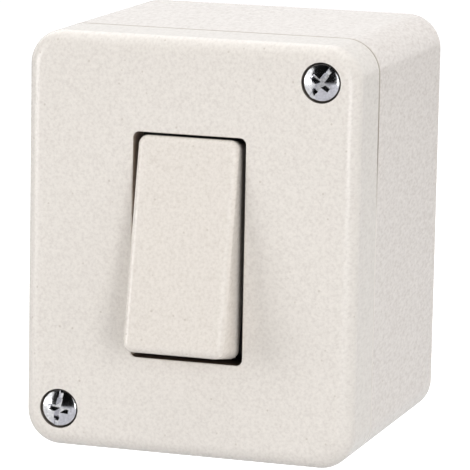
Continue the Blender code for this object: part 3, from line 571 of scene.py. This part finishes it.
# Real spark-eroded grain is about 0.05 mm wide, too fine to show here, so that one grain is
# drawn about 0.5 mm wide. GRAIN_DRAW is below 1, which makes it longer along the depth. The
# specks lie about 2.4 mm apart.
GRAINS_PER_M = 2100.0
GRAIN_DRAW = 0.4
GRAIN_STRENGTH = 0.3
GRAIN_DEPTH = 0.00005
SPECKS_PER_M = 420.0
ABS_SPECK = "#a59684"

# The joint's painted shade begins at the first height, is darkest about midway and lighter at
# the second, and its edge wanders by up to JOINT_WANDER. Its marks are about 1.4 mm long, the
# slots' about 1.1.
JOINT_SHADE_FROM_Z = 0.005
JOINT_SHADE_TO_Z = 0.030
JOINT_WANDER = 0.002
JOINT_MARKS_PER_M = 700.0
SLOT_MARKS_PER_M = 900.0

# The filler's grains are about 0.3 mm, coarser than the real ones of 0.1 mm or less, and the
# milky clouds of the nylon about 0.8 mm.
FILLER_PER_M = 3000.0
CLOUDS_PER_M = 1200.0

METAL_MARK_STRENGTH = 0.3
METAL_MARK_DEPTH = 0.00001


def linear(hex_colour):
    """An sRGB hex colour as linear values for a shader."""
    channels = [int(hex_colour[start:start + 2], 16) / 255 for start in (1, 3, 5)]
    return tuple(
        value / 12.92 if value <= 0.04045 else ((value + 0.055) / 1.055) ** 2.4
        for value in channels
    ) + (1,)


def add_node(tree, kind, settings=None, links=None):
    """Adds a node, sets its properties or its sockets by name or number, and links sockets."""
    node = tree.nodes.new(kind)
    for name, value in (settings or {}).items():
        if hasattr(node, str(name)):
            setattr(node, name, value)
        else:
            node.inputs[name].default_value = value
    for name, socket in (links or {}).items():
        tree.links.new(socket, node.inputs[name])
    return node


def set_ramp(ramp, *stops):
    """Sets a colour ramp's stops, each a position and a hex colour."""
    elements = ramp.color_ramp.elements
    while len(elements) < len(stops):
        elements.new(1.0)
    for element, (position, colour) in zip(elements, stops):
        element.position = position
        element.color = linear(colour)


def new_material(name, settings):
    """A material with a Principled shader and its settings; returns it, its tree and shader."""
    material = bpy.data.materials.new(name)
    material.use_nodes = True
    shader = material.node_tree.nodes["Principled BSDF"]
    for socket, value in settings.items():
        shader.inputs[socket].default_value = value
    return material, material.node_tree, shader


def finish_surface(tree, shader, colour, height, strength, distance):
    """Links a colour and a bump made from a height to the shader."""
    bump = add_node(tree, "ShaderNodeBump", {"Strength": strength, "Distance": distance},
                    {"Height": height})
    tree.links.new(colour, shader.inputs["Base Color"])
    tree.links.new(bump.outputs["Normal"], shader.inputs["Normal"])


# ABS, injection moulded in a spark-eroded tool: an off-white satin skin with a fine mottle,
# here and there a tiny darker speck of compound.
def spark_eroded_abs(name, roughness, pit, tone_between, peak):
    material, tree, shader = new_material(name, {"Roughness": roughness, "IOR": ABS_IOR})
    place = add_node(tree, "ShaderNodeTexCoord").outputs["Object"]
    drawn_out = add_node(tree, "ShaderNodeMapping", {}, {"Vector": place})
    drawn_out.inputs["Scale"].default_value = (1, GRAIN_DRAW, 1)
    grain = add_node(tree, "ShaderNodeTexNoise",
                     {"Scale": GRAINS_PER_M, "Detail": 2.0, "Roughness": 0.6},
                     {"Vector": drawn_out.outputs["Vector"]})
    tone = add_node(tree, "ShaderNodeValToRGB", {}, {"Fac": grain.outputs["Fac"]})
    set_ramp(tone, (0.28, pit), (0.50, tone_between), (0.72, peak))
    cells = add_node(tree, "ShaderNodeTexVoronoi", {"Scale": SPECKS_PER_M, "Randomness": 1.0},
                     {"Vector": place})
    speck = add_node(tree, "ShaderNodeMapRange",
                     {"From Min": 0.04, "From Max": 0.10, "To Min": 0.35, "To Max": 0.0},
                     {"Value": cells.outputs["Distance"]})
    mixed = add_node(tree, "ShaderNodeMix", {"data_type": "RGBA"}, {
        0: speck.outputs["Result"], 6: tone.outputs["Color"],
    })
    mixed.inputs[7].default_value = linear(ABS_SPECK)
    finish_surface(tree, shader, mixed.outputs[2], grain.outputs["Fac"],
                   GRAIN_STRENGTH, GRAIN_DEPTH)
    return material


# The same ABS in the joint between cover and box, with painted shade: dark above, fading out
# towards the bottom.
def abs_joint_with_painted_shade():
    material, tree, shader = new_material("abs_joint_painted_shade", {"Roughness": 0.6, "IOR": ABS_IOR})
    place = add_node(tree, "ShaderNodeTexCoord").outputs["Object"]
    height = add_node(tree, "ShaderNodeSeparateXYZ", {}, {"Vector": place}).outputs["Z"]
    marks = add_node(tree, "ShaderNodeTexNoise", {"Scale": JOINT_MARKS_PER_M, "Detail": 2.0},
                     {"Vector": place})
    uneven = add_node(tree, "ShaderNodeMath",
                      {"operation": "MULTIPLY_ADD", 1: 2 * JOINT_WANDER, 2: -JOINT_WANDER},
                      {0: marks.outputs["Fac"]})
    waved = add_node(tree, "ShaderNodeMath", {"operation": "ADD"},
                     {0: height, 1: uneven.outputs[0]})
    share = add_node(tree, "ShaderNodeMapRange",
                     {"From Min": JOINT_SHADE_FROM_Z, "From Max": JOINT_SHADE_TO_Z},
                     {"Value": waved.outputs[0]})
    tone = add_node(tree, "ShaderNodeValToRGB", {}, {"Fac": share.outputs["Result"]})
    set_ramp(tone, (0.0, "#e5dfd9"), (0.45, "#8f8376"), (1.0, "#b4aa9f"))
    finish_surface(tree, shader, tone.outputs["Color"], marks.outputs["Fac"],
                   strength=0.1, distance=0.00002)
    return material


# The same ABS in the narrow slots between the mouldings: unpolished and dull, with painted shade,
# a dark tone that stands in for the shade that falls there.
def abs_with_painted_shade(name, darkest, lightest):
    material, tree, shader = new_material(name, {
        "Roughness": 0.8, "IOR": ABS_IOR, "Specular IOR Level": 0.1,
    })
    place = add_node(tree, "ShaderNodeTexCoord").outputs["Object"]
    marks = add_node(tree, "ShaderNodeTexNoise", {"Scale": SLOT_MARKS_PER_M, "Detail": 2.0},
                     {"Vector": place})
    tone = add_node(tree, "ShaderNodeValToRGB", {}, {"Fac": marks.outputs["Fac"]})
    set_ramp(tone, (0.3, darkest), (0.7, lightest))
    finish_surface(tree, shader, tone.outputs["Color"], marks.outputs["Fac"],
                   strength=0.2, distance=0.00003)
    return material


# Phenolic resin, compression moulded: dark grey and half matt, peppered by its mineral filler.
def moulded_phenolic():
    material, tree, shader = new_material("grey_phenolic_compression_moulded", {
        "Roughness": 0.48, "IOR": 1.6,
    })
    place = add_node(tree, "ShaderNodeTexCoord").outputs["Object"]
    filler = add_node(tree, "ShaderNodeTexNoise",
                      {"Scale": FILLER_PER_M, "Detail": 3.0, "Roughness": 0.7},
                      {"Vector": place})
    tone = add_node(tree, "ShaderNodeValToRGB", {}, {"Fac": filler.outputs["Fac"]})
    set_ramp(tone, (0.3, "#3b3a39"), (0.62, "#4b4a48"), (0.75, "#6a6864"))
    finish_surface(tree, shader, tone.outputs["Color"], filler.outputs["Fac"],
                   strength=0.3, distance=0.00002)
    return material


# Nylon 66, injection moulded without pigment: milky and waxy, it lets some light in.
def natural_nylon():
    material, tree, shader = new_material("natural_nylon_moulded", {
        "Roughness": 0.34, "IOR": 1.53, "Subsurface Weight": 0.35,
        "Subsurface Scale": 0.002,
    })
    place = add_node(tree, "ShaderNodeTexCoord").outputs["Object"]
    milk = add_node(tree, "ShaderNodeTexNoise", {"Scale": CLOUDS_PER_M, "Detail": 2.0},
                    {"Vector": place})
    tone = add_node(tree, "ShaderNodeValToRGB", {}, {"Fac": milk.outputs["Fac"]})
    set_ramp(tone, (0.3, "#ded8c4"), (0.7, "#e9e4d4"))
    finish_surface(tree, shader, tone.outputs["Color"], milk.outputs["Fac"],
                   strength=0.15, distance=0.00002)
    return material


# A metal part: its two tones, its roughness range and the fine marks that its making left,
# which run along an axis where the stretch is above 1. The marks are drawn 0.25 to 0.7 mm
# wide, coarser than the real ones, which would be too fine to show.
def metal(name, dark, light, smoothest, roughest, marks_per_m, stretch=(1, 1, 1)):
    material, tree, shader = new_material(name, {"Metallic": 1.0})
    place = add_node(tree, "ShaderNodeTexCoord").outputs["Object"]
    stretched = add_node(tree, "ShaderNodeMapping", {}, {"Vector": place})
    stretched.inputs["Scale"].default_value = [1 / share for share in stretch]
    marks = add_node(tree, "ShaderNodeTexNoise",
                     {"Scale": marks_per_m, "Detail": 4.0, "Roughness": 0.6},
                     {"Vector": stretched.outputs["Vector"]})
    tone = add_node(tree, "ShaderNodeValToRGB", {}, {"Fac": marks.outputs["Fac"]})
    set_ramp(tone, (0.3, dark), (0.7, light))
    rough = add_node(tree, "ShaderNodeMapRange",
                     {"From Min": 0.3, "From Max": 0.7, "To Min": roughest, "To Max": smoothest},
                     {"Value": marks.outputs["Fac"]})
    tree.links.new(rough.outputs["Result"], shader.inputs["Roughness"])
    finish_surface(tree, shader, tone.outputs["Color"], marks.outputs["Fac"],
                   METAL_MARK_STRENGTH, METAL_MARK_DEPTH)
    return material


def dress(piece, material):
    """Gives a piece or a solid one material all over."""
    if piece.data.materials:
        for index in range(len(piece.data.materials)):
            piece.data.materials[index] = material
    else:
        piece.data.materials.append(material)


def paint_faces(piece, material, test):
    """Gives the faces that pass a test of their middle and normal a further material."""
    piece.data.materials.append(material)
    make_active(piece)
    bpy.ops.object.mode_set(mode="EDIT")
    bpy.ops.mesh.select_mode(type="FACE")
    bpy.ops.mesh.select_all(action="DESELECT")
    shape = bmesh.from_edit_mesh(piece.data)
    for face in shape.faces:
        if test(face.calc_center_median(), face.normal):
            face.select_set(True)
    bmesh.update_edit_mesh(piece.data)
    piece.active_material_index = len(piece.data.materials) - 1
    bpy.ops.object.material_slot_assign()
    bpy.ops.object.mode_set(mode="OBJECT")


def in_screw_seats(place, normal):
    """Whether a face of the cover is the wall or the floor of a screw's seat."""
    return place.y > FRONT + 2 * RECESS_LIP and any(
        math.hypot(place.x - side * COVER_SCREW_X, place.z - MECHANISM_Z - side * COVER_SCREW_Z)
        < COVER_RECESS_RADIUS + RECESS_LIP for side in (1, -1)
    )


def in_opening(place, normal):
    """Whether a face of the cover is a wall of the rocker's opening."""
    return (
        abs(place.x) < OPENING_HALF_X + SEAT_GAP
        and abs(place.z - MECHANISM_Z) < OPENING_HALF_Z + SEAT_GAP
        and place.y > FRONT + OPENING_LIP
    )


def in_opening_left(place, normal):
    """Whether a face is the opening's left wall, which the light from the right reaches."""
    return in_opening(place, normal) and normal.x > MOSTLY_FACING


def in_cover_joint(place, normal):
    """Whether a face of the cover is the rim that meets the box."""
    return place.y > COVER_REAR - BITE and abs(normal.y) > FACING


def in_base_joint(place, normal):
    """Whether a face of the box is its tongue or the seat beside it."""
    on_tongue = place.y < BASE_FRONT and abs(normal.y) < FACING
    # The seat takes in most of the softened edge round it.
    on_seat = place.y < BASE_FRONT + 0.8 * BASE_FRONT_EDGE
    return on_tongue or on_seat


COVER_ABS = spark_eroded_abs("spark_eroded_abs_cover", 0.24, "#dcd5ce", "#e5dfd8", "#ebe5de")
BASE_ABS = spark_eroded_abs("spark_eroded_abs_box", 0.26, "#d8cfc8", "#e5ded8", "#efe8e2")
ROCKER_ABS = spark_eroded_abs("spark_eroded_abs_key", 0.19, "#ddd5cc", "#e6dfd7", "#ece5dd")
# The walls of the opening: painted shade, a dark tone that stands in for the shade in the narrow
# gap.
SLOT_PAINTED_SHADE = abs_with_painted_shade("abs_slot_walls_painted_shade", "#463a32", "#5a4c42")
# The joint between cover and box: painted shade, dark above and fading out towards the bottom.
JOINT_PAINTED_SHADE = abs_joint_with_painted_shade()
# The walls of the screw seats: painted shade, a darker tone for the shade in the gap round the
# heads.
SEAT_PAINTED_SHADE = abs_with_painted_shade("abs_seat_walls_painted_shade", "#7d756e", "#8f867e")
# The opening's left wall: painted light and shade, a mid tone for a wall that the light from the
# right only partly reaches.
LEFT_WALL_PAINTED_HALF_LIT = abs_with_painted_shade("abs_left_wall_painted_half_lit", "#8f8174", "#9f9184")
PHENOLIC = moulded_phenolic()
NYLON = natural_nylon()
# Steel, nickel plated and polished: bright, almost a mirror, with a slight uneven haze.
NICKEL = metal("nickel_plated_steel_polished", "#c4c4c6", "#e8e8ea",
               smoothest=0.10, roughest=0.20, marks_per_m=2500.0)
# Steel, stamped or headed and zinc plated: cool grey, half bright and a little cloudy.
ZINC = metal("zinc_plated_steel_stamped", "#aab0b4", "#ced3d6",
             smoothest=0.24, roughest=0.40, marks_per_m=1800.0)
# Spring steel, drawn to wire: darker grey with a dull shine.
SPRING_WIRE = metal("spring_steel_drawn", "#8e8f92", "#b9babd",
                    smoothest=0.22, roughest=0.34, marks_per_m=4000.0)
# Brass strip, rolled: yellow, with the rolling marks drawn out up and down.
BRASS = metal("brass_rolled_strip", "#b08a48", "#cfae68",
              smoothest=0.24, roughest=0.38, marks_per_m=1500.0, stretch=(1, 1, 9))
# Silver, coined to a contact: pale and fairly bright.
SILVER = metal("silver_contact_coined", "#cfcdc8", "#e9e7e2",
               smoothest=0.16, roughest=0.26, marks_per_m=3000.0)

# The visible pieces: what makes each, the node it stands for, its body, slot and finish, and
# the materials of painted shade on its inner walls and joint, where a later one is laid over an
# earlier one.
for make, node, body, slot, finish, painted in (
    (make_front_cover, "front_cover", "housing", "ivory_cover", COVER_ABS,
     # The cover's opening walls, left wall, joint rim and screw seats carry painted shade.
     ((SLOT_PAINTED_SHADE, in_opening), (LEFT_WALL_PAINTED_HALF_LIT, in_opening_left), (JOINT_PAINTED_SHADE, in_cover_joint),
      (SEAT_PAINTED_SHADE, in_screw_seats))),
    (make_rear_box, "base_box", "housing", "ivory_shell", BASE_ABS,
     # The box's tongue and seat carry the joint's painted shade.
     ((JOINT_PAINTED_SHADE, in_base_joint),)),
    (make_rocker, "rocker", "rocker", "ivory_rocker", ROCKER_ABS, ()),
):
    piece = make()
    dress(piece, finish)
    for material, test in painted:
        paint_faces(piece, material, test)
    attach(piece, body)
    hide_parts(node)

for name, side, turn in (("upper", 1, UPPER_HEAD_TURN), ("lower", -1, LOWER_HEAD_TURN)):
    piece = make_cover_screw(f"visual_screw_{name}", side, turn)
    dress(piece, NICKEL)
    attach(piece, "housing")
    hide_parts(f"cover_screw_{name}")

# The spring shortens as the plunger slides into the tube; here it is only baked in place, with no
# body.
spring = make_rocker_spring()
dress(spring, SPRING_WIRE)
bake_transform(spring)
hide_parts("rocker_spring")

# The solids that are shown as they are.
for material, nodes in (
    (PHENOLIC, ("contact_block",)),
    (NYLON, ("plunger",)),
    (ZINC, ("block_screw_upper", "block_screw_lower", "rocker_pin", "common_clamp_plate",
            "upper_clamp_plate", "lower_clamp_plate", "common_terminal_screw",
            "upper_terminal_screw", "lower_terminal_screw")),
    (BRASS, ("common_terminal", "upper_contact_terminal", "lower_contact_terminal",
             "contact_lever")),
    (SILVER, ("upper_moving_contact", "lower_moving_contact", "upper_fixed_contact",
              "lower_fixed_contact")),
):
    for node in nodes:
        dress(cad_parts[node], material)


# The studio

# The camera, as an even studio shot from the right and a little above.
CAMERA_LENS_MM = 286.5
CAMERA_SENSOR_MM = 36.0
CAMERA_YAW = math.radians(17.99)
CAMERA_PITCH = math.radians(10.13)
CAMERA_ROLL = math.radians(1.10)
CAMERA_DISTANCE = 0.5799
PHOTO_PX = 470
FACE_MIDDLE_PX = (187.19, 250.88)

# Lamps and cards face the middle of the box, their azimuth counted from the front.
MIDDLE = Vector((0, FRONT / 2, 0))

# Soft boxes: azimuth and elevation in degrees, distance, width and height in metres, power
# in watts, and whether the gloss shows the lamp itself.
SOFTBOXES = (
    ("top_softbox", 180, 86, 0.65, 1.1, 0.9, 3.8, True),
    ("rear_softbox", 213, 40, 0.80, 0.70, 0.45, 1.0, True),
    ("rear_fill", 180, 8, 0.90, 1.0, 1.0, 1.1, False),
    ("key_softbox", 43, 0, 0.80, 0.24, 0.80, 3.7, False),
    ("left_softbox", -56, 0, 0.82, 0.42, 0.90, 5.1, False),
    ("right_fill", 72, 0, 0.80, 0.40, 0.80, 1.9, False),
    ("front_fill", 6, -10, 0.90, 1.0, 1.0, 2.4, False),
)

# Cards that stand in the gloss for the key and the left soft box, dimmer high up, where the
# top of the box would mirror them: azimuth, lowest and highest elevation in degrees, distance
# and width in metres, and glow.
CARDS = (
    ("key_card_low", 43, -28, 8, 0.80, 0.24, 5.2),
    ("key_card_high", 43, 8, 28, 0.80, 0.24, 1.3),
    ("left_card_low", -56, -36, 8, 0.82, 0.42, 4.2),
    ("left_card_high", -56, 8, 30, 0.82, 0.42, 1.4),
)

# The floor lies so far below that the part's shadow on it stays out of the picture.
FLOOR_SIZE = 8.0
FLOOR_Z = -0.115
FLOOR_GLOW = 0.92
FLOOR_IN_GLOSS = 0.45
WORLD_FILL = 0.20
WORLD_IN_GLOSS = 1.0
ROOM_RADIUS = 1.6
ROOM_REAR = 0.05
TABLE_LEFT = 0.10
TABLE_RISE = 0.0003


def add_camera():
    """Places the camera so that the middle of the face falls on its pixel of the frame."""
    face_middle = Vector((0, FRONT, 0))
    forward = Vector((
        -math.sin(CAMERA_YAW) * math.cos(CAMERA_PITCH),
        math.cos(CAMERA_YAW) * math.cos(CAMERA_PITCH),
        -math.sin(CAMERA_PITCH),
    ))
    level_right = Vector((math.cos(CAMERA_YAW), math.sin(CAMERA_YAW), 0))
    level_up = level_right.cross(forward)
    right = math.cos(CAMERA_ROLL) * level_right + math.sin(CAMERA_ROLL) * level_up
    up = -math.sin(CAMERA_ROLL) * level_right + math.cos(CAMERA_ROLL) * level_up
    focal_px = CAMERA_LENS_MM / CAMERA_SENSOR_MM * PHOTO_PX
    across = (FACE_MIDDLE_PX[0] - PHOTO_PX / 2) / focal_px * CAMERA_DISTANCE
    rise = (PHOTO_PX / 2 - FACE_MIDDLE_PX[1]) / focal_px * CAMERA_DISTANCE
    data = bpy.data.cameras.new("product_camera")
    data.lens = CAMERA_LENS_MM
    data.sensor_width = CAMERA_SENSOR_MM
    data.clip_end = 10
    camera = bpy.data.objects.new("product_camera", data)
    place = face_middle - CAMERA_DISTANCE * forward - across * right - rise * up
    axes = Matrix((right, up, -forward)).transposed()
    camera.matrix_world = Matrix.Translation(place) @ axes.to_4x4()
    bpy.context.scene.collection.objects.link(camera)
    bpy.context.scene.camera = camera


def add_lamp(name, azimuth, elevation, distance, width, height, power, in_gloss):
    """A soft box that faces the part: an area lamp."""
    azimuth, elevation = math.radians(azimuth), math.radians(elevation)
    outward = Vector((
        math.sin(azimuth) * math.cos(elevation),
        -math.cos(azimuth) * math.cos(elevation),
        math.sin(elevation),
    ))
    data = bpy.data.lights.new(name, "AREA")
    data.shape = "RECTANGLE"
    data.size = width
    data.size_y = height
    data.energy = power
    lamp = bpy.data.objects.new(name, data)
    lamp.location = MIDDLE + distance * outward
    lamp.rotation_euler = (-outward).to_track_quat("-Z", "Y").to_euler()
    lamp.visible_camera = False
    lamp.visible_glossy = in_gloss
    bpy.context.scene.collection.objects.link(lamp)


def seen_directly(tree, in_gloss):
    """1 on rays from the camera or clear glass, in_gloss on mirror rays, 0 on those that light."""
    path = add_node(tree, "ShaderNodeLightPath")
    mirrored = add_node(tree, "ShaderNodeMath", {"operation": "MULTIPLY", 1: in_gloss},
                        {0: path.outputs["Is Glossy Ray"]})
    seen = add_node(tree, "ShaderNodeMath", {"operation": "MAXIMUM"},
                    {0: path.outputs["Is Camera Ray"], 1: mirrored.outputs[0]})
    through = add_node(tree, "ShaderNodeMath", {"operation": "MAXIMUM"},
                       {0: seen.outputs[0], 1: path.outputs["Is Transmission Ray"]})
    return through.outputs[0]


def stage_for_mirrors(piece, material_name, settings):
    """Makes a stage piece of one plain matt material, which only mirror rays meet."""
    material = new_material(material_name, {
        "Roughness": 1.0, "Specular IOR Level": 0.0, **settings,
    })[0]
    piece.data.materials.append(material)
    for ray in ("camera", "diffuse", "transmission", "volume_scatter", "shadow"):
        setattr(piece, f"visible_{ray}", False)


# Matt white paper: evenly white to the eye, and grey only in the part's shadow.
def make_floor():
    """A pale floor below the part."""
    deselect()
    bpy.ops.mesh.primitive_plane_add(size=FLOOR_SIZE, location=(0, 0, FLOOR_Z))
    floor = bpy.context.object
    floor.name = "studio_floor"
    material, tree, shader = new_material("matt_white_paper", {
        "Roughness": 0.9, "Base Color": linear("#c4c4c4"),
        "Emission Color": (1, 1, 1, 1), "Specular IOR Level": 0.0,
    })
    glow = add_node(tree, "ShaderNodeMath", {"operation": "MULTIPLY", 1: FLOOR_GLOW},
                    {0: seen_directly(tree, FLOOR_IN_GLOSS)})
    tree.links.new(glow.outputs[0], shader.inputs["Emission Strength"])
    floor.data.materials.append(material)


# Black cloth and a grey card, unlit: in the gloss they show as a dark room over a pale table.
def make_dark_room():
    """The room in front of the part, which gives the bright metal its dark and pale halves."""
    deselect()
    bpy.ops.mesh.primitive_uv_sphere_add(segments=48, ring_count=24, radius=ROOM_RADIUS)
    room = bpy.context.object
    room.name = "dark_room"
    bpy.ops.object.mode_set(mode="EDIT")
    bpy.ops.mesh.select_all(action="SELECT")
    bpy.ops.mesh.bisect(plane_co=(0, ROOM_REAR, 0), plane_no=(0, 1, 0), clear_outer=True)
    bpy.ops.object.mode_set(mode="OBJECT")
    deselect()
    bpy.ops.mesh.primitive_plane_add(size=2 * ROOM_RADIUS, location=(
        ROOM_RADIUS - TABLE_LEFT, ROOM_REAR - ROOM_RADIUS, FLOOR_Z + TABLE_RISE,
    ))
    table = bpy.context.object
    table.name = "grey_table"
    stage_for_mirrors(room, "black_cloth", {"Base Color": linear("#141414")})
    stage_for_mirrors(table, "grey_card", {"Base Color": linear("#dedee4")})


# White card, evenly lit: in the gloss it shows as the bright front of a soft box.
def make_card(name, azimuth, low, high, distance, width, glow):
    """An upright card, from one elevation to another."""
    deselect()
    bpy.ops.mesh.primitive_plane_add(size=1, location=(0, 0, 0))
    card = bpy.context.object
    card.name = name
    bottom, top = (distance * math.tan(math.radians(angle)) for angle in (low, high))
    turn = math.radians(azimuth)
    card.scale = (width, top - bottom, 1)
    set_in_place(card, (math.radians(90), 0, turn), MIDDLE + Vector((
        distance * math.sin(turn), -distance * math.cos(turn), (bottom + top) / 2,
    )))
    stage_for_mirrors(card, "lit_white_card", {
        "Base Color": linear("#000000"), "Emission Color": (1, 1, 1, 1),
        "Emission Strength": glow,
    })


def light_world():
    """A white background for the eye and the gloss, which lights the part only a little."""
    world = bpy.data.worlds.new("studio")
    bpy.context.scene.world = world
    world.use_nodes = True
    tree = world.node_tree
    background = tree.nodes["Background"]
    background.inputs["Color"].default_value = (1, 1, 1, 1)
    level = add_node(tree, "ShaderNodeMapRange", {"To Min": WORLD_FILL, "To Max": 1.0},
                     {"Value": seen_directly(tree, WORLD_IN_GLOSS)})
    tree.links.new(level.outputs["Result"], background.inputs["Strength"])


add_camera()
for softbox in SOFTBOXES:
    add_lamp(*softbox)
make_floor()
make_dark_room()
for card in CARDS:
    make_card(*card)
light_world()
bpy.context.scene.view_settings.view_transform = "Standard"
